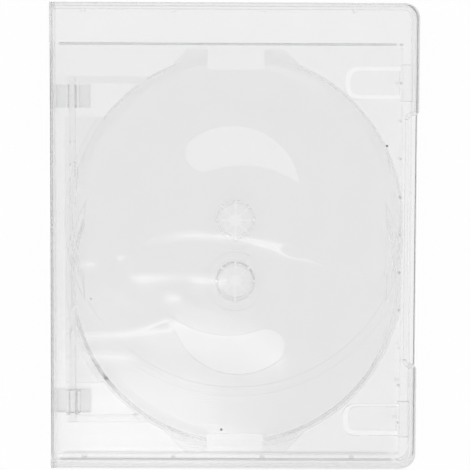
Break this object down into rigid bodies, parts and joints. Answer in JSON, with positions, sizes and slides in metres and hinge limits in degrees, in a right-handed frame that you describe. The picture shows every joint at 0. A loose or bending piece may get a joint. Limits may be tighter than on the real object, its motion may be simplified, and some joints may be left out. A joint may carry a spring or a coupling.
{
  "type": "multi-disc keep case",
  "caption": "Clear moulded keep case for optical discs, with a folding spine, film sleeve, booklet clips, a thumb notch and a swing tray with a petal hub on each face.",
  "frame": {"origin": "middle of the shut case's outline, on the face that it lies on", "axes": "+Z out of the front cover, +Y towards the header strip, +X from the spine to the free edge"},
  "size_m": [0.135, 0.1714, 0.014],
  "materials": {
    "milky_polypropylene": "clear, slightly milky moulded polypropylene",
    "tray_polypropylene": "clear, slightly milky moulded polypropylene",
    "sleeve_film": "thin clear glossy film"
  },
  "bodies": {
    "back_cover": {"back_cover": "milky_polypropylene", "sleeve_back": "sleeve_film"},
    "spine": {"spine": "milky_polypropylene", "sleeve_spine": "sleeve_film"},
    "front_cover": {"front_cover": "milky_polypropylene", "sleeve_front": "sleeve_film"},
    "swing_tray": {"swing_tray": "tray_polypropylene"}
  },
  "joints": [
    {"name": "spine_fold", "type": "hinge", "parent": "back_cover", "child": "spine", "pos_m": [-0.0669, 0, 0.0006], "axis": [0, -1, 0], "range_deg": [0, 90]},
    {"name": "cover_fold", "type": "hinge", "parent": "spine", "child": "front_cover", "pos_m": [-0.0669, 0, 0.0134], "axis": [0, -1, 0], "range_deg": [0, 90]},
    {"name": "tray_swing", "type": "hinge", "parent": "back_cover", "child": "swing_tray", "pos_m": [-0.0596, 0, 0.007], "axis": [0, -1, 0], "range_deg": [0, 90]}
  ],
  "couplings": [
    {"joint": "tray_swing", "follows": "spine_fold", "ratio": 1}
  ]
}
